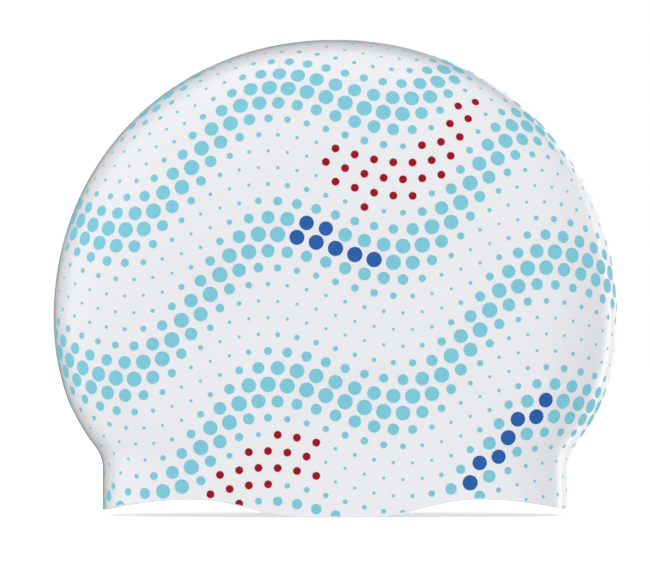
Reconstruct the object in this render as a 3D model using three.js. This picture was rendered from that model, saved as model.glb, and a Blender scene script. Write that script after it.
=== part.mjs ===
// A moulded silicone swim cap that stands open on its rim.
// Millimetres. X runs from the nape to the forehead, Y from ear to ear and Z is up.
// The origin is on the surface that the rim rests on, under the middle of the cap.

import * as THREE from 'three';

// Driving sizes of the outside

const CROWN_LENGTH = 198; // widest part of the dome, along X
const CROWN_DEPTH = 60; // the same height, along Y
const WIDEST_HEIGHT = 69; // from the resting surface up to the widest part
const DOME_HEIGHT = 98; // from there up to the top
const NECK_LENGTH = 163.5; // straight band above the rim, along X
const NECK_DEPTH = 54; // rim under the ears, along Y

// Driving sizes of the wall and the rim

const WALL = 0.75;
const RIM_WALL = 1.3; // lip that is thickened on the inside
const RIM_LIP_HEIGHT = 5; // from the rim up to the plain wall
const RIM_ARCH = 6.2; // rise of the rim between an ear and an end
const RIM_END = 1.9; // rise of the rim at the forehead and the nape
const EAR_REST_LENGTH = 22; // straight stretch of rim under each ear
const DENT_DEPTH = 2; // deepest hollow of the soft sides

// Form of the curves

const OUTLINE_POWER = 2.06; // 2 makes the dome's outline an ellipse, more squares it
const SECTION_POWER = 4.5; // 2 makes a level section an ellipse, more flattens its sides
const ARCH_AT = 0.6; // where the rim is highest, as a share of half the neck length

// Skirt between the neck (swell 0) and the widest part (swell 1).
// up is a share of WIDEST_HEIGHT.
const SKIRT = [
  { up: 0, swell: 0 },
  { up: 0.235, swell: 0 },
  { up: 0.28, swell: 0.022 },
  { up: 0.33, swell: 0.107 },
  { up: 0.38, swell: 0.252 },
  { up: 0.43, swell: 0.389 },
  { up: 0.48, swell: 0.508 },
  { up: 0.58, swell: 0.7 },
  { up: 0.69, swell: 0.842 },
  { up: 0.79, swell: 0.927 },
  { up: 0.9, swell: 0.983 },
  { up: 1, swell: 1 },
];

// Shallow hollows (sink over 0) and swells (sink under 0) of the soft sides.
// side is the sign of Y, along a share of half the crown length from the middle,
// up a share of the whole height, long and short the half sizes as shares of half
// the crown length, turn in degrees from level, sink a share of DENT_DEPTH.
const DENTS = [
  { side: -1, along: -0.4, up: 0.42, long: 0.44, short: 0.32, turn: -14, sink: 1 },
  { side: -1, along: -0.58, up: 0.32, long: 0.17, short: 0.15, turn: 0, sink: 0.25 },
  { side: -1, along: -0.13, up: 0.3, long: 0.22, short: 0.1, turn: 42, sink: -0.16 },
  { side: -1, along: 0.13, up: 0.265, long: 0.36, short: 0.11, turn: 13, sink: 0.42 },
  { side: -1, along: 0.3, up: 0.45, long: 0.42, short: 0.34, turn: 0, sink: 0.34 },
  { side: -1, along: 0.36, up: 0.43, long: 0.17, short: 0.15, turn: 0, sink: -0.3 },
  { side: -1, along: 0.02, up: 0.7, long: 0.4, short: 0.18, turn: 6, sink: 0.4 },
  { side: 1, along: 0.34, up: 0.46, long: 0.46, short: 0.3, turn: 18, sink: 0.9 },
  { side: 1, along: -0.24, up: 0.31, long: 0.3, short: 0.11, turn: -24, sink: 0.4 },
  { side: 1, along: -0.42, up: 0.56, long: 0.24, short: 0.18, turn: 10, sink: -0.14 },
];

// Grid of the wall

const COLUMNS = 68; // round the cap, a multiple of 4
const SKIRT_ROWS = 17;
const DOME_ROWS = 16;

const silicone = new THREE.MeshStandardMaterial({
  name: 'silicone_white',
  color: 0xebebef,
  roughness: 0.4,
  metalness: 0,
});

// Height of the rim's edge above the resting surface.
// reach is the distance from the middle as a share of half the neck length.
function rimHeight(reach) {
  const rest = EAR_REST_LENGTH / NECK_LENGTH;
  if (reach <= rest) {
    return 0;
  }
  if (reach <= ARCH_AT) {
    const share = (reach - rest) / (ARCH_AT - rest);
    return (RIM_ARCH * (1 - Math.cos(Math.PI * share))) / 2;
  }
  const share = (reach - ARCH_AT) / (1 - ARCH_AT);
  return RIM_ARCH - (RIM_ARCH - RIM_END) * share ** 2;
}

// Slope of the skirt's curve at one row of its table, never overshooting.
function skirtSlope(index) {
  const before = SKIRT[index - 1];
  const row = SKIRT[index];
  const after = SKIRT[index + 1];
  if (!before || !after) {
    return 0;
  }
  const rise = (row.swell - before.swell) / (row.up - before.up);
  const next = (after.swell - row.swell) / (after.up - row.up);
  return rise * next > 0 ? (2 * rise * next) / (rise + next) : 0;
}

// Swell of the skirt at a share of WIDEST_HEIGHT, as a smooth curve through its table.
function skirtSwell(up) {
  const index = SKIRT.findIndex((row) => row.up > up) - 1;
  const low = SKIRT[index];
  const high = SKIRT[index + 1];
  const span = high.up - low.up;
  const t = (up - low.up) / span;
  const ease = t * t * (3 - 2 * t);
  const bend = skirtSlope(index) * t * (1 - t) ** 2 - skirtSlope(index + 1) * t * t * (1 - t);
  return low.swell + (high.swell - low.swell) * ease + span * bend;
}

// How far the soft side is pushed in at a place seen square on.
function sinkAt(side, x, z) {
  const halfLength = CROWN_LENGTH / 2;
  const height = WIDEST_HEIGHT + DOME_HEIGHT;
  let total = 0;
  for (const dent of DENTS.filter((row) => row.side === side)) {
    const turn = THREE.MathUtils.degToRad(dent.turn);
    const dx = x / halfLength - dent.along;
    const dz = (z - dent.up * height) / halfLength;
    const along = (dx * Math.cos(turn) + dz * Math.sin(turn)) / dent.long;
    const across = (dz * Math.cos(turn) - dx * Math.sin(turn)) / dent.short;
    const fade = Math.max(0, 1 - along ** 2 - across ** 2);
    total += DENT_DEPTH * dent.sink * fade ** 3;
  }
  return total;
}

// A point of the skirt: share runs from the rim (0) to the widest part (1).
function skirtPoint(turn, share) {
  const reach = Math.abs(Math.cos(turn));
  const z = THREE.MathUtils.lerp(rimHeight(reach), WIDEST_HEIGHT, share);
  const up = z / WIDEST_HEIGHT;
  const halfLength = THREE.MathUtils.lerp(NECK_LENGTH, CROWN_LENGTH, skirtSwell(up)) / 2;
  const bulge = Math.sin((Math.PI / 2) * up);
  const halfDepth = THREE.MathUtils.lerp(NECK_DEPTH, CROWN_DEPTH, bulge) / 2;
  const depth = halfDepth * Math.sqrt(1 - reach ** SECTION_POWER);
  return new THREE.Vector3(halfLength * Math.cos(turn), depth, z);
}

// A point of the dome: rise runs from the widest part (0) to the top (half pi).
function domePoint(turn, rise) {
  const level = Math.cos(rise) ** (2 / OUTLINE_POWER);
  const up = Math.sin(rise) ** (2 / OUTLINE_POWER);
  const reach = level * Math.abs(Math.cos(turn));
  const spread = (reach ** OUTLINE_POWER + up ** OUTLINE_POWER) ** (1 / OUTLINE_POWER);
  const depth = (CROWN_DEPTH / 2) * Math.sqrt(Math.max(0, 1 - spread ** SECTION_POWER));
  const x = (CROWN_LENGTH / 2) * level * Math.cos(turn);
  return new THREE.Vector3(x, depth, WIDEST_HEIGHT + DOME_HEIGHT * up);
}

// A point of the outside at a column and a row of the grid.
function outerPoint(column, row) {
  const turn = (2 * Math.PI * column) / COLUMNS;
  const side = Math.sin(turn) < 0 ? -1 : 1;
  const rise = ((Math.PI / 2) * (row - SKIRT_ROWS)) / DOME_ROWS;
  const point = row < SKIRT_ROWS ? skirtPoint(turn, row / SKIRT_ROWS) : domePoint(turn, rise);
  point.y = side * (point.y - sinkAt(side, point.x, point.z));
  return point;
}

// The outward direction of the outside there, level along the rim.
function outward(column, row) {
  const around = outerPoint(column + 1, row).sub(outerPoint(column - 1, row));
  const above = outerPoint(column, row + 1);
  const below = outerPoint(column, Math.max(0, row - 1));
  const normal = around.cross(above.sub(below));
  if (row === 0) {
    normal.z = 0;
  }
  return normal.normalize();
}

function innerPoint(column, row) {
  const point = outerPoint(column, row);
  const edge = outerPoint(column, 0);
  const share = THREE.MathUtils.clamp((point.z - edge.z) / RIM_LIP_HEIGHT, 0, 1);
  const thickness = THREE.MathUtils.lerp(RIM_WALL, WALL, share);
  return point.addScaledVector(outward(column, row), -thickness);
}

// One closed wall: the outside, the inside and the narrow edge of the rim between them.
function shellGeometry() {
  const rows = SKIRT_ROWS + DOME_ROWS;
  const top = WIDEST_HEIGHT + DOME_HEIGHT;
  const points = [];
  for (const place of [outerPoint, innerPoint]) {
    for (let row = 0; row < rows; row += 1) {
      for (let column = 0; column < COLUMNS; column += 1) {
        points.push(...place(column, row));
      }
    }
  }
  points.push(0, 0, top, 0, 0, top - WALL);

  const inside = rows * COLUMNS;
  const faces = [];
  for (let column = 0; column < COLUMNS; column += 1) {
    const next = (column + 1) % COLUMNS;
    for (let row = 0; row < rows - 1; row += 1) {
      const low = row * COLUMNS;
      const high = low + COLUMNS;
      faces.push(low + column, low + next, high + next);
      faces.push(low + column, high + next, high + column);
      faces.push(inside + low + column, inside + high + next, inside + low + next);
      faces.push(inside + low + column, inside + high + column, inside + high + next);
    }
    const ring = (rows - 1) * COLUMNS;
    faces.push(ring + column, ring + next, 2 * inside);
    faces.push(inside + ring + column, 2 * inside + 1, inside + ring + next);
    faces.push(column, inside + column, next);
    faces.push(next, inside + column, inside + next);
  }

  const geometry = new THREE.BufferGeometry();
  geometry.setAttribute('position', new THREE.Float32BufferAttribute(points, 3));
  geometry.setIndex(faces);
  geometry.computeVertexNormals();
  return geometry;
}

const shell = new THREE.Mesh(shellGeometry(), silicone);
shell.name = 'cap_shell';

const cap = new THREE.Group();
cap.name = 'swim_cap';
cap.add(shell);

export default cap;
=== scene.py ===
"""A white silicone swim cap, printed with waves of dots, that stands open on its rim."""

import math

import bpy
import numpy as np
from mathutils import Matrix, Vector
from mathutils.bvhtree import BVHTree


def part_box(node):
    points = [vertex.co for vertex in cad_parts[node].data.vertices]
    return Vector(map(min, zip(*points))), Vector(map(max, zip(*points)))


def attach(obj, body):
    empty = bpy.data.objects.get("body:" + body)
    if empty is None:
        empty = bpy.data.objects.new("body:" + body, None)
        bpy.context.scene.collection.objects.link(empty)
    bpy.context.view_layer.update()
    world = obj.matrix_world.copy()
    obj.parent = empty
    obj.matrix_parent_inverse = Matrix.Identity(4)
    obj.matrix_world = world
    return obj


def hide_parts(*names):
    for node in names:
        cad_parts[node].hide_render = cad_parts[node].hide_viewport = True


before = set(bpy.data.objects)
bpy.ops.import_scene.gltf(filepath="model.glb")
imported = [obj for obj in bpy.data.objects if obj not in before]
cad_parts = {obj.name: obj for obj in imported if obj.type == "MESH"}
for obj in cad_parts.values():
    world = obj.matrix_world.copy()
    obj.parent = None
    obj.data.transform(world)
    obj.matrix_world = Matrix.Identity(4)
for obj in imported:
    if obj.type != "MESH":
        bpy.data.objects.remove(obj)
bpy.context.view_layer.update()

MM = 0.001

# Sizes of the cap, in metres. X runs from the nape to the forehead, Y from ear to ear and
# Z is up.
LOW_CORNER, HIGH_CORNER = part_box("cap_shell")
CROWN_LENGTH = HIGH_CORNER.x - LOW_CORNER.x
TOP_HEIGHT = HIGH_CORNER.z
CROWN_DEPTH = 60 * MM
WIDEST_HEIGHT = 69 * MM
DOME_HEIGHT = TOP_HEIGHT - WIDEST_HEIGHT
NECK_LENGTH = 163.5 * MM
NECK_DEPTH = 54 * MM
WALL = 0.75 * MM
RIM_WALL = 1.3 * MM
RIM_LIP_HEIGHT = 5 * MM
RIM_ROUND = 0.4 * MM
RIM_ARCH = 6.2 * MM
RIM_END = 1.9 * MM
EAR_REST_LENGTH = 22 * MM
DENT_DEPTH = 2 * MM

# Form of the curves: where the rim is highest, as a share of half the neck length, and
# the powers of the outline and of the level sections, where 2 makes an ellipse.
ARCH_AT = 0.6
OUTLINE_POWER = 2.06
SECTION_POWER = 4.5

# The skirt's swell from the neck (0) to the widest part (1), by share of WIDEST_HEIGHT.
SKIRT_UP = (0, 0.235, 0.28, 0.33, 0.38, 0.43, 0.48, 0.58, 0.69, 0.79, 0.9, 1)
SKIRT_SWELL = (0, 0, 0.022, 0.107, 0.252, 0.389, 0.508, 0.7, 0.842, 0.927, 0.983, 1)

# Soft hollows and swells of the sides: side of Y, place along and up, half sizes, turn in
# degrees and sink. Lengths are shares of half the crown length, up of the whole height
# and sink of DENT_DEPTH.
DENT_COLUMNS = ("side", "along", "up", "long", "short", "turn", "sink")
DENTS = (
    (-1, -0.4, 0.42, 0.44, 0.32, -14, 1),
    (-1, -0.58, 0.32, 0.17, 0.15, 0, 0.25),
    (-1, -0.13, 0.3, 0.22, 0.1, 42, -0.16),
    (-1, 0.13, 0.265, 0.36, 0.11, 13, 0.42),
    (-1, 0.3, 0.45, 0.42, 0.34, 0, 0.34),
    (-1, 0.36, 0.43, 0.17, 0.15, 0, -0.3),
    (-1, 0.02, 0.7, 0.4, 0.18, 6, 0.4),
    (1, 0.34, 0.46, 0.46, 0.3, 18, 0.9),
    (1, -0.24, 0.31, 0.3, 0.11, -24, 0.4),
    (1, -0.42, 0.56, 0.24, 0.18, 10, -0.14),
)

# Faint waves of the thin wall: wavelength, direction in degrees, phase and height.
RIPPLE_COLUMNS = ("length", "turn", "phase", "height")
RIPPLES = (
    (61 * MM, 25, 0.4, 0.16 * MM),
    (43 * MM, 108, 2.1, 0.1 * MM),
    (29 * MM, 151, 4.4, 0.05 * MM),
    (19 * MM, 64, 1.3, 0.02 * MM),
)

# Line that the two halves of the mould leave along the edge of the cap.
PARTING_HEIGHT = 0.1 * MM
PARTING_WIDTH = 0.45 * MM

# Grid of the wall. The columns crowd where the forehead and the nape turn round.
COLUMNS = 256
RIDGE_CROWDING = 0.6
OUTER_DOME_ROWS = 72
OUTER_SKIRT_ROWS = 56
ROUND_ROWS = 5
ROUND_TOP = 1.5 * RIM_ROUND
LIP_ROWS = 6
INNER_SKIRT_ROWS = 28
INNER_DOME_ROWS = 36

# Direction out of the wall: the step over which it is measured, and the share of the
# skirt above the rim in which it turns level.
NORMAL_STEP = 1e-3
LEVEL_SHARE = 0.1

# Print: dots on a staggered grid that is swayed into slanting waves.
INK_THICKNESS = 0.05 * MM
INK_FOOT = 0.05 * MM
DOT_PITCH = 6.7 * MM
ROW_PITCH = DOT_PITCH * math.sqrt(3) / 2
PRINT_REACH = 0.75 * CROWN_LENGTH
DOT_SMALL = 1.1 * MM
DOT_LARGE = 5.4 * MM
DOT_GROWTH = 1.7
WAVE_PITCH = 52 * MM
WAVE_SLANT = 0.45
WAVE_SWAY = 9 * MM
GRID_SWAY = 5 * MM
SWAY_LENGTH = 96 * MM

# Laying the flat print on a side: the height of its middle, how far and in what steps the
# side is measured from there, and how the dots are cut and divided.
FACE_CENTRE = 82 * MM
SIDE_REACH = 0.66 * CROWN_LENGTH
SIDE_STEP = 0.2 * MM
RIDGE_GAP = 0.6 * MM
RIM_GAP = 0.45 * MM
RING_STEP = 1.5 * MM
LEAST_DOT = 0.6 * MM
LEAST_CORNERS = 12
INK_SHARP_ANGLE = 40

# Dots in another colour: a stretch of one wave each. A wave's crest is at a phase of 0.25
# and the hollow above it at 0.75.
ACCENT_COLUMNS = ("ink", "phase", "spread", "start", "end", "least_width")
ACCENTS = (
    ("ink_red", 0.75, 0.18, -5 * MM, 52 * MM, 2.8 * MM),
    ("ink_red", -1.25, 0.18, -60 * MM, -4 * MM, 2.8 * MM),
    ("ink_blue", 0.25, 0.09, -16 * MM, 17 * MM, 2.1 * MM),
    ("ink_blue", -1.75, 0.09, 44 * MM, 76 * MM, 2.1 * MM),
)

# Colours, linear.
WHITE = (1, 1, 1, 1)
SILICONE = (0.85, 0.853, 0.884)
INKS = {
    "ink_turquoise": (0.205, 0.572, 0.69),
    "ink_red": (0.345, 0.001, 0.014),
    "ink_blue": (0.02, 0.112, 0.4),
}

# Silicone: sizes of its noises, how dark its darkest clouds are, its roughness from the
# smooth to the dull places, the depth and strength of its bumps, and its other values.
CLOUD_SIZE = 38 * MM
BLOTCH_SIZE = 6 * MM
GRAIN_SIZE = 0.35 * MM
CLOUD_SHADE = 0.985
SILICONE_ROUGHNESS = (0.32, 0.4)
BLOTCH_BUMP = (0.05 * MM, 0.25)
GRAIN_BUMP = (0.01 * MM, 0.3)
SILICONE_LOOK = {
    "IOR": 1.41,
    "Coat Weight": 1,
    "Coat Roughness": 0.13,
    "Coat IOR": 1.41,
    "Subsurface Weight": 0.2,
    "Subsurface Radius": (1, 0.9, 0.85),
    "Subsurface Scale": 2 * MM,
}

# Ink: the same, with the gain and the lift that its lightest places have over its colour.
MOTTLE_SIZE = 1.6 * MM
INK_GRAIN_SIZE = 0.3 * MM
INK_GAIN = 1.05
INK_LIFT = 0.002
INK_ROUGHNESS = (0.38, 0.46)
INK_BUMP = (0.012 * MM, 0.4)
INK_LOOK = {"IOR": 1.41, "Specular IOR Level": 0.12}

# A map range's inputs, and the range that most of a noise lies in.
RANGE_INPUTS = ("From Min", "From Max", "To Min", "To Max")
NOISE_RANGE = (0.3, 0.7)

# Camera: the cap's box in the frame of 650 by 563 pixels.
FRAME_WIDTH = 650
FRAME_HEIGHT = 563
CAP_LEFT, CAP_RIGHT = 54, 617
CAP_TOP, CAP_BOTTOM = 40, 515
CAMERA_DISTANCE = 2.4
SENSOR = 36

# Floor. Its glow changes between two distances from the cap, from one strength to another.
FLOOR_RADIUS = 4
FLOOR_CORNERS = 96
FLOOR_GLOW = (0.1, 0.6, 0.55, 0.85)
FLOOR_LOOK = {"Base Color": (0.8, 0.8, 0.8, 1), "Roughness": 0.9, "Emission Color": WHITE}

# Light of the surroundings: even, but for a few broad sides. Degrees to the right of the
# camera and above level, the cosines from the middle of the side where it starts and where
# it is full, and what it adds to the light there.
EVEN_LIGHT = 0.695
SIDE_COLUMNS = ("right", "above", "starts", "full", "adds")
SIDES = (
    (26, 0, 0.3, 0.97, 0.6),
    (-104, 5, 0.8, 0.96, 0.1),
    (0, 92, 0.75, 0.95, 0.7),
    (148, -7, 0.73, 0.86, 1.85),
    (70, -12, 0.79, 0.96, -0.78),
    (-169, 5, 0.4, 0.46, -1.4),
)

# Square soft lamps, pointed at the middle of the cap and not mirrored in its gloss:
# degrees to the right of the camera and above level, and watts.
LAMP_COLUMNS = ("name", "right", "above", "watts")
LAMPS = (
    ("back", 180, 12, 13),
    ("left", -97, 5, 10.5),
)
LAMP_DISTANCE = 1.8
LAMP_SIZE = 0.9


def table(columns, rows):
    """The rows of a table as dictionaries."""
    return [dict(zip(columns, row)) for row in rows]


def mix(low, high, share):
    """The value at a share of the way from low to high."""
    return low + (high - low) * share


# Shape of the wall


def rim_height(reach):
    """Height of the rim's edge; reach is the share of half the neck length."""
    rest = EAR_REST_LENGTH / NECK_LENGTH
    rise = np.clip((reach - rest) / (ARCH_AT - rest), 0, 1)
    fall = np.clip((reach - ARCH_AT) / (1 - ARCH_AT), 0, 1)
    return RIM_ARCH * (1 - np.cos(math.pi * rise)) / 2 - (RIM_ARCH - RIM_END) * fall**2


def skirt_slopes():
    """Slopes of the skirt's curve at its rows, so that it never overshoots."""
    steps = np.diff(SKIRT_SWELL) / np.diff(SKIRT_UP)
    slopes = np.zeros(len(SKIRT_UP))
    before, after = steps[:-1], steps[1:]
    both = before * after > 0
    slopes[1:-1][both] = 2 * before[both] * after[both] / (before + after)[both]
    return slopes


SKIRT_SLOPES = skirt_slopes()


def skirt_swell(up):
    """Swell of the skirt at a share of WIDEST_HEIGHT, as a smooth curve through its rows."""
    ups, swells = np.array(SKIRT_UP), np.array(SKIRT_SWELL)
    index = np.clip(np.searchsorted(ups, up, side="right") - 1, 0, len(ups) - 2)
    span = ups[index + 1] - ups[index]
    t = np.clip((up - ups[index]) / span, 0, 1)
    bend = SKIRT_SLOPES[index] * t * (1 - t) ** 2 - SKIRT_SLOPES[index + 1] * t**2 * (1 - t)
    return mix(swells[index], swells[index + 1], t * t * (3 - 2 * t)) + span * bend


def half_sizes(z):
    """Half the length and half the depth of the skirt's level section at a height."""
    up = np.clip(z / WIDEST_HEIGHT, 0, 1)
    length = mix(NECK_LENGTH, CROWN_LENGTH, skirt_swell(up)) / 2
    depth = mix(NECK_DEPTH, CROWN_DEPTH, np.sin(math.pi / 2 * up)) / 2
    return length, depth


def plain_depth(x, z):
    """Distance of the undented side from the plane of the edge, 0 outside the outline."""
    length, depth = half_sizes(z)
    rise = np.clip(z - WIDEST_HEIGHT, 0, None) / DOME_HEIGHT
    spread = ((np.abs(x) / length) ** OUTLINE_POWER + rise**OUTLINE_POWER) ** (1 / OUTLINE_POWER)
    return depth * np.sqrt(np.clip(1 - spread**SECTION_POWER, 0, 1))


def sink_at(side, x, z):
    """How far the dents and ripples push a side in at a place seen square on."""
    half = CROWN_LENGTH / 2
    total = np.zeros(np.broadcast(x, z).shape)
    for dent in table(DENT_COLUMNS, DENTS):
        turn = math.radians(dent["turn"])
        dx = x / half - dent["along"]
        dz = (z - dent["up"] * TOP_HEIGHT) / half
        along = (dx * math.cos(turn) + dz * math.sin(turn)) / dent["long"]
        across = (dz * math.cos(turn) - dx * math.sin(turn)) / dent["short"]
        fade = np.clip(1 - along**2 - across**2, 0, 1) ** 3
        total = total + DENT_DEPTH * dent["sink"] * fade * (side == dent["side"])
    for ripple in table(RIPPLE_COLUMNS, RIPPLES):
        turn = math.radians(ripple["turn"])
        way = side * x * math.cos(turn) + z * math.sin(turn)
        wave = np.sin(2 * math.pi * way / ripple["length"] + ripple["phase"])
        total = total + ripple["height"] * wave * plain_depth(x, z) / (CROWN_DEPTH / 2)
    return total


def outside(turn, level):
    """Points of the outside. turn goes round, level from the rim (-1) past the widest
    part (0) to the top (1)."""
    reach = np.abs(np.cos(turn))
    skirt_z = mix(rim_height(reach), WIDEST_HEIGHT, np.clip(1 + level, 0, 1))
    rise = math.pi / 2 * np.clip(level, 0, 1)
    power = 2 / OUTLINE_POWER
    z = np.where(level < 0, skirt_z, WIDEST_HEIGHT + DOME_HEIGHT * np.sin(rise) ** power)
    length, depth = half_sizes(z)
    across = np.where(level < 0, 1, np.clip(np.cos(rise), 0, 1) ** power)
    x = length * across * np.cos(turn)
    up = np.where(level < 0, 0, np.sin(rise) ** power)
    spread = ((across * reach) ** OUTLINE_POWER + up**OUTLINE_POWER) ** (1 / OUTLINE_POWER)
    y = depth * np.sqrt(np.clip(1 - spread**SECTION_POWER, 0, 1))
    side = np.where(np.sin(turn) < 0, -1, 1)
    return np.stack([x, side * (y - sink_at(side, x, z)), z], axis=-1)


def outward(turn, level):
    """Directions out of the wall, level at the rim."""
    high = np.minimum(level + NORMAL_STEP, 1 - NORMAL_STEP)
    low = np.maximum(level - NORMAL_STEP, -1)
    around = outside(turn + NORMAL_STEP, level) - outside(turn - NORMAL_STEP, level)
    above = outside(turn, high) - outside(turn, low)
    normal = np.cross(around, above)
    normal[..., 2] *= np.clip((1 + level) / LEVEL_SHARE, 0, 1)
    return normal / np.linalg.norm(normal, axis=-1, keepdims=True)


def wall_rings():
    """The rings of the wall from the top outside, round the rim, to the top inside: for
    each a level, a height above the rim's edge that takes its place, and an inset."""
    rings = []
    for row in range(1, OUTER_DOME_ROWS + 1):
        rings.append((1 - row / OUTER_DOME_ROWS, None, 0))
    for row in range(1, OUTER_SKIRT_ROWS):
        rings.append((-row / OUTER_SKIRT_ROWS, None, 0))
    rings.append((None, ROUND_TOP, 0))
    angles = [math.pi / 2 * row / ROUND_ROWS for row in range(ROUND_ROWS + 1)]
    for angle in angles:
        rings.append((None, RIM_ROUND * (1 - math.sin(angle)), RIM_ROUND * (1 - math.cos(angle))))
    for angle in angles:
        inset = RIM_WALL - RIM_ROUND * (1 - math.sin(angle))
        rings.append((None, RIM_ROUND * (1 - math.cos(angle)), inset))
    for row in range(1, LIP_ROWS + 1):
        share = row / LIP_ROWS
        ease = share * share * (3 - 2 * share)
        rings.append((None, mix(ROUND_TOP, RIM_LIP_HEIGHT, share), mix(RIM_WALL, WALL, ease)))
    lip_level = RIM_LIP_HEIGHT / WIDEST_HEIGHT
    for row in range(1, INNER_SKIRT_ROWS + 1):
        rings.append((mix(-1 + lip_level, 0, row / INNER_SKIRT_ROWS), None, WALL))
    for row in range(1, INNER_DOME_ROWS):
        rings.append((row / INNER_DOME_ROWS, None, WALL))
    return rings


def ring_points(turn, level, height, inset):
    """The points of one ring of the wall."""
    if level is None:
        edge = rim_height(np.abs(np.cos(turn)))
        level = -1 + height / (WIDEST_HEIGHT - edge)
    level = np.broadcast_to(level, turn.shape)
    points = outside(turn, level)
    normals = outward(turn, level)
    if inset == 0:
        line = np.exp(-((points[:, 1] / PARTING_WIDTH) ** 2))
        return points + normals * (PARTING_HEIGHT * line)[:, None]
    return points - normals * inset


def add_mesh(name, points, faces):
    """A smooth mesh object from points and faces."""
    mesh = bpy.data.meshes.new(name)
    mesh.from_pydata([tuple(point) for point in points], [], faces)
    mesh.validate()
    mesh.shade_smooth()
    piece = bpy.data.objects.new(name, mesh)
    bpy.context.scene.collection.objects.link(piece)
    return piece


def make_wall():
    """The whole cap as one closed wall."""
    even = 2 * math.pi * np.arange(COLUMNS) / COLUMNS
    turn = even - RIDGE_CROWDING / 2 * np.sin(2 * even)
    rings = [ring_points(turn, *ring) for ring in wall_rings()]
    points = [*np.concatenate(rings), (0, 0, TOP_HEIGHT), (0, 0, TOP_HEIGHT - WALL)]
    outer_top, inner_top = len(points) - 2, len(points) - 1
    last = (len(rings) - 1) * COLUMNS
    faces = []
    for column in range(COLUMNS):
        after = (column + 1) % COLUMNS
        faces.append((outer_top, column, after))
        for ring in range(len(rings) - 1):
            here, below = ring * COLUMNS, (ring + 1) * COLUMNS
            faces.append((here + column, below + column, below + after, here + after))
        faces.append((last + column, inner_top, last + after))
    return add_mesh("silicone_wall", points, faces)


# Print


def wave_phase(u, w):
    """Phase of the waves at a place of the flat print."""
    sway = WAVE_SWAY * math.sin(2 * math.pi * u / SWAY_LENGTH)
    return (w - WAVE_SLANT * u + sway) / WAVE_PITCH


def dot_look(phase, u):
    """Width and ink of a dot."""
    share = 0.5 + 0.5 * math.sin(2 * math.pi * phase)
    width = mix(DOT_SMALL, DOT_LARGE, share**DOT_GROWTH)
    for accent in table(ACCENT_COLUMNS, ACCENTS):
        near = abs(phase - accent["phase"]) < accent["spread"]
        if near and accent["start"] < u < accent["end"]:
            return max(width, accent["least_width"]), accent["ink"]
    return width, "ink_turquoise"


def flat_dots():
    """The print as it lies flat: place from the middle of a side, width and ink."""
    dots = []
    reach = math.ceil(PRINT_REACH / ROW_PITCH)
    for row in range(-reach, reach + 1):
        for column in range(-reach, reach + 1):
            u = (column + 0.5 * (row % 2)) * DOT_PITCH
            w = row * ROW_PITCH
            lift = GRID_SWAY * math.sin(2 * math.pi * u / SWAY_LENGTH)
            dots.append((u, w - lift, *dot_look(wave_phase(u, w), u)))
    return dots


def side_reach():
    """For each degree of direction from the middle of a side, the arc lengths along the
    surface and the straight distances that go with them, out to the edge."""
    distance = np.arange(0, SIDE_REACH, SIDE_STEP)
    rays = []
    for direction in np.radians(np.arange(360)):
        x = distance * math.cos(direction)
        z = FACE_CENTRE + distance * math.sin(direction)
        depth = plain_depth(x, np.maximum(z, 0))
        depth[z < 0] = 0
        arc = np.concatenate([[0], np.cumsum(np.hypot(np.diff(distance), np.diff(depth)))])
        inside = int(np.argmax(depth <= 0)) or len(depth)
        rays.append((arc[:inside], distance[:inside]))
    return rays


def place_dot(rays, u, w):
    """Where a dot of the flat print comes to lie, seen square on, or None off the side."""
    arc, distance = rays[round(math.degrees(math.atan2(w, u))) % 360]
    length = math.hypot(u, w)
    if length > arc[-1]:
        return None
    straight = float(np.interp(length, arc, distance))
    scale = straight / length if length else 1
    return u * scale, FACE_CENTRE + w * scale


def clip(outline, inside):
    """The part of a flat outline where inside(point) is over 0."""
    kept = []
    for at, point in enumerate(outline):
        before = outline[at - 1]
        here, there = inside(point), inside(before)
        if here * there < 0:
            share = there / (there - here)
            kept.append(tuple(mix(a, b, share) for a, b in zip(before, point)))
        if here >= 0:
            kept.append(point)
    return kept


def dot_outline(centre, across, up, side, width):
    """A dot's outline in the plane that touches the surface at its centre, cut off short
    of the cap's edge and of the rim."""
    corners = LEAST_CORNERS + 4 * round(2 * width / DOT_LARGE)
    angles = [2 * math.pi * corner / corners for corner in range(corners)]
    circle = [(width / 2 * math.cos(angle), width / 2 * math.sin(angle)) for angle in angles]
    places = (centre.x - MM, centre.x, centre.x + MM)
    left, edge, right = (float(rim_height(abs(x) / (NECK_LENGTH / 2))) for x in places)
    slope = (right - left) / (2 * MM)

    def off_edge(point):
        return side * (centre + across * point[0] + up * point[1]).y - RIDGE_GAP

    def off_rim(point):
        spot = centre + across * point[0] + up * point[1]
        return spot.z - edge - slope * (spot.x - centre.x) - RIM_GAP

    return clip(clip(circle, off_edge), off_rim)


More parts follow.
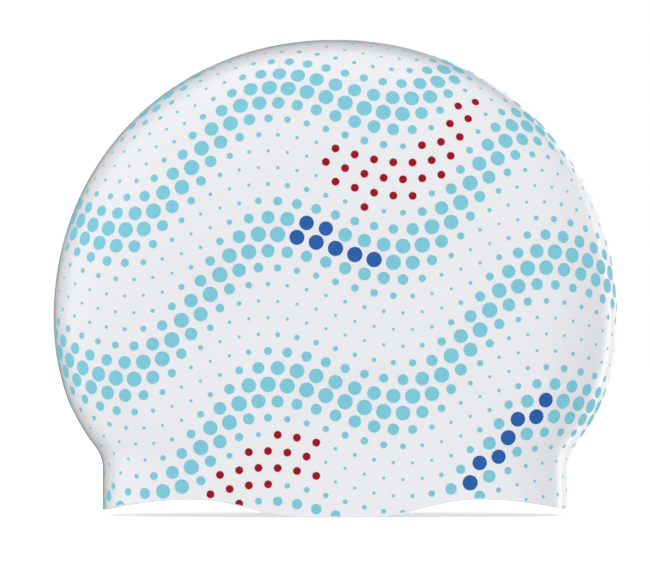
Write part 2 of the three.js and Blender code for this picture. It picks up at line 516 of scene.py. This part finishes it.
def add_dot(surface, centre, normal, side, width, points, faces):
    """Adds one dot of ink as a thin closed disc that follows the surface."""
    across = Vector((0, 0, 1)).cross(normal).normalized()
    up = normal.cross(across)
    outline = dot_outline(centre, across, up, side, width)
    if len(outline) < 3:
        return
    corners = np.array(outline)
    if np.ptp(corners, axis=0).min() < LEAST_DOT:
        return
    middle = corners.mean(axis=0)
    rings = math.ceil(width / 2 / RING_STEP)
    start = len(points)
    count = len(outline)

    def drop(flat, raised):
        spot = centre + across * float(flat[0]) + up * float(flat[1])
        place, face_normal, _, _ = surface.find_nearest(spot)
        points.append(place + face_normal * raised)

    drop(middle, INK_THICKNESS)
    for ring in range(1, rings + 1):
        for corner in corners:
            drop(middle + (corner - middle) * ring / rings, INK_THICKNESS)
    for corner in corners:
        drop(corner, -INK_FOOT)
    for corner in range(count):
        after = (corner + 1) % count
        faces.append((start, start + 1 + corner, start + 1 + after))
        for ring in range(rings):
            low = start + 1 + ring * count
            high = low + count
            faces.append((low + corner, high + corner, high + after, low + after))
    foot = start + 1 + rings * count
    faces.append(tuple(foot + corner for corner in reversed(range(count))))


def make_print(wall):
    """The printed dots of both sides, one piece for each ink."""
    mesh = wall.data
    surface = BVHTree.FromPolygons(
        [vertex.co for vertex in mesh.vertices], [tuple(face.vertices) for face in mesh.polygons]
    )
    parts = {ink: ([], []) for ink in INKS}
    rays = side_reach()
    for side in (-1, 1):
        for u, w, width, ink in flat_dots():
            spot = place_dot(rays, u, w)
            if spot is None:
                continue
            x, z = -side * spot[0], spot[1]
            depth = float(plain_depth(x, z) - sink_at(side, x, z))
            place, normal, _, _ = surface.find_nearest(Vector((x, side * depth, z)))
            add_dot(surface, place, normal, side, width, *parts[ink])
    pieces = []
    for ink, (points, faces) in parts.items():
        piece = add_mesh(ink, points, faces)
        piece.data.set_sharp_from_angle(angle=math.radians(INK_SHARP_ANGLE))
        pieces.append(piece)
    return pieces


# Materials


def set_inputs(node, values):
    """Sets a node's inputs by their names."""
    for key, value in values.items():
        node.inputs[key].default_value = value


def node_tools(tree):
    """Short ways to add a node, with its properties, and to link two sockets."""

    def add(kind, **properties):
        node = tree.nodes.new(kind)
        for key, value in properties.items():
            setattr(node, key, value)
        return node

    return add, tree.links.new


def new_material(name):
    """A material, its shader and the tools of its tree."""
    material = bpy.data.materials.new(name)
    material.use_nodes = True
    tree = material.node_tree
    return material, tree.nodes["Principled BSDF"], *node_tools(tree)


def add_noise(add, link, coordinates, size, detail):
    """A noise with features of a size on the object."""
    noise = add("ShaderNodeTexNoise")
    set_inputs(noise, {"Scale": 1 / size, "Detail": detail})
    link(coordinates.outputs["Object"], noise.inputs["Vector"])
    return noise.outputs["Fac"]


def add_range(add, link, value, source, target, shape="LINEAR"):
    """Maps the source range of a value to the target range."""
    ranged = add("ShaderNodeMapRange", interpolation_type=shape)
    set_inputs(ranged, dict(zip(RANGE_INPUTS, (*source, *target))))
    link(value, ranged.inputs["Value"])
    return ranged.outputs["Result"]


def add_bump(add, link, height, bump, before=None):
    """A bump of a depth and a strength, on top of the one before it."""
    node = add("ShaderNodeBump")
    set_inputs(node, dict(zip(("Distance", "Strength"), bump)))
    link(height, node.inputs["Height"])
    if before is not None:
        link(before, node.inputs["Normal"])
    return node.outputs["Normal"]


def add_tint(add, link, factor, low, high):
    """The colour between two at a factor."""
    tint = add("ShaderNodeMix", data_type="RGBA")
    colours = [socket for socket in tint.inputs if socket.type == "RGBA"]
    colours[0].default_value = (*low, 1)
    colours[1].default_value = (*high, 1)
    link(factor, tint.inputs["Factor"])
    return next(socket for socket in tint.outputs if socket.type == "RGBA")


def silicone_material():
    """White silicone: a satin body, faintly cloudy and grained, under a glossy coat."""
    material, shader, add, link = new_material("silicone_white")
    coordinates = add("ShaderNodeTexCoord")
    cloudy = add_noise(add, link, coordinates, CLOUD_SIZE, 3)
    blotchy = add_noise(add, link, coordinates, BLOTCH_SIZE, 4)
    grain = add_noise(add, link, coordinates, GRAIN_SIZE, 2)
    darker = tuple(channel * CLOUD_SHADE for channel in SILICONE)
    share = add_range(add, link, cloudy, NOISE_RANGE, (0, 1))
    roughness = add_range(add, link, blotchy, NOISE_RANGE, SILICONE_ROUGHNESS)
    coarse = add_bump(add, link, blotchy, BLOTCH_BUMP)
    link(add_tint(add, link, share, darker, SILICONE), shader.inputs["Base Color"])
    link(roughness, shader.inputs["Roughness"])
    link(add_bump(add, link, grain, GRAIN_BUMP, coarse), shader.inputs["Normal"])
    set_inputs(shader, SILICONE_LOOK)
    return material


def ink_material(name, colour):
    """Printed ink: duller than the silicone, slightly mottled and grained."""
    material, shader, add, link = new_material(name)
    coordinates = add("ShaderNodeTexCoord")
    mottle = add_noise(add, link, coordinates, MOTTLE_SIZE, 4)
    grain = add_noise(add, link, coordinates, INK_GRAIN_SIZE, 2)
    lighter = tuple(channel * INK_GAIN + INK_LIFT for channel in colour)
    share = add_range(add, link, mottle, NOISE_RANGE, (0, 1))
    roughness = add_range(add, link, mottle, NOISE_RANGE, INK_ROUGHNESS)
    link(add_tint(add, link, share, colour, lighter), shader.inputs["Base Color"])
    link(roughness, shader.inputs["Roughness"])
    link(add_bump(add, link, grain, INK_BUMP), shader.inputs["Normal"])
    set_inputs(shader, INK_LOOK)
    return material


# Stage, camera and light


def make_floor():
    """A white floor that glows more the farther off it is, so that no horizon shows. It
    neither lights the cap nor is mirrored in it."""
    bpy.ops.mesh.primitive_circle_add(
        vertices=FLOOR_CORNERS, radius=FLOOR_RADIUS, fill_type="NGON"
    )
    floor = bpy.context.object
    floor.name = "floor"
    material, shader, add, link = new_material("floor_white")
    coordinates = add("ShaderNodeTexCoord")
    distance = add("ShaderNodeVectorMath", operation="LENGTH")
    link(coordinates.outputs["Object"], distance.inputs[0])
    glow = add_range(
        add, link, distance.outputs["Value"], FLOOR_GLOW[:2], FLOOR_GLOW[2:], "SMOOTHSTEP"
    )
    link(glow, shader.inputs["Emission Strength"])
    set_inputs(shader, FLOOR_LOOK)
    floor.data.materials.append(material)
    floor.visible_diffuse = False
    floor.visible_glossy = False
    floor.visible_shadow = False


def direction(right, above):
    """The direction to a place: degrees to the right of the camera and above level."""
    right, above = math.radians(right), math.radians(above)
    level = Vector((math.sin(right), -math.cos(right), 0)) * math.cos(above)
    return level + Vector((0, 0, math.sin(above)))


def make_world():
    """White to the camera. As a light it is even, with brighter and darker sides."""
    world = bpy.data.worlds.new("studio")
    bpy.context.scene.world = world
    world.use_nodes = True
    tree = world.node_tree
    add, link = node_tools(tree)
    coordinates = add("ShaderNodeTexCoord")
    total = add("ShaderNodeValue")
    total.outputs["Value"].default_value = EVEN_LIGHT
    light = total.outputs["Value"]
    for side in table(SIDE_COLUMNS, SIDES):
        toward = add("ShaderNodeVectorMath", operation="DOT_PRODUCT")
        toward.inputs[1].default_value = direction(side["right"], side["above"])
        link(coordinates.outputs["Generated"], toward.inputs[0])
        cosines = (side["starts"], side["full"])
        gain = add_range(
            add, link, toward.outputs["Value"], cosines, (0, side["adds"]), "SMOOTHSTEP"
        )
        added = add("ShaderNodeMath", operation="ADD")
        link(gain, added.inputs[0])
        link(light, added.inputs[1])
        light = added.outputs["Value"]
    darkest = add("ShaderNodeMath", operation="MAXIMUM")
    darkest.inputs[1].default_value = 0
    seen = add("ShaderNodeLightPath")
    white = add("ShaderNodeBackground")
    choice = add("ShaderNodeMixShader")
    background = tree.nodes["Background"]
    background.inputs["Color"].default_value = WHITE
    white.inputs["Color"].default_value = WHITE
    link(light, darkest.inputs[0])
    link(darkest.outputs["Value"], background.inputs["Strength"])
    link(seen.outputs["Is Camera Ray"], choice.inputs["Fac"])
    link(background.outputs["Background"], choice.inputs[1])
    link(white.outputs["Background"], choice.inputs[2])
    link(choice.outputs["Shader"], tree.nodes["World Output"].inputs["Surface"])


def make_lamps():
    middle = Vector((0, 0, TOP_HEIGHT / 2))
    for row in table(LAMP_COLUMNS, LAMPS):
        light = bpy.data.lights.new(row["name"], "AREA")
        light.size = LAMP_SIZE
        light.energy = row["watts"]
        lamp = bpy.data.objects.new(row["name"], light)
        toward = direction(row["right"], row["above"])
        lamp.location = middle + toward * LAMP_DISTANCE
        lamp.rotation_euler = (-toward).to_track_quat("-Z", "Y").to_euler()
        lamp.visible_camera = False
        lamp.visible_glossy = False
        bpy.context.scene.collection.objects.link(lamp)


def make_camera():
    """Level with the middle of the cap, so far off that the outline is nearly square on."""
    data = bpy.data.cameras.new("camera")
    pixel = CROWN_LENGTH / (CAP_RIGHT - CAP_LEFT)
    data.sensor_width = SENSOR
    data.lens = SENSOR * CAMERA_DISTANCE / (pixel * FRAME_WIDTH)
    data.shift_x = (FRAME_WIDTH / 2 - (CAP_LEFT + CAP_RIGHT) / 2) / FRAME_WIDTH
    data.shift_y = ((CAP_TOP + CAP_BOTTOM) / 2 - FRAME_HEIGHT / 2) / FRAME_WIDTH
    camera = bpy.data.objects.new("camera", data)
    camera.location = (0, -CAMERA_DISTANCE, TOP_HEIGHT / 2)
    camera.rotation_euler = (math.pi / 2, 0, 0)
    bpy.context.scene.collection.objects.link(camera)
    bpy.context.scene.camera = camera


def build():
    scene = bpy.context.scene
    scene.view_settings.view_transform = "Standard"
    scene.cycles.use_denoising = True
    wall = make_wall()
    wall.data.materials.append(silicone_material())
    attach(wall, "root")
    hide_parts("cap_shell")
    for piece in make_print(wall):
        piece.data.materials.append(ink_material(piece.name, INKS[piece.name]))
        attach(piece, "root")
    make_floor()
    make_world()
    make_lamps()
    make_camera()


build()
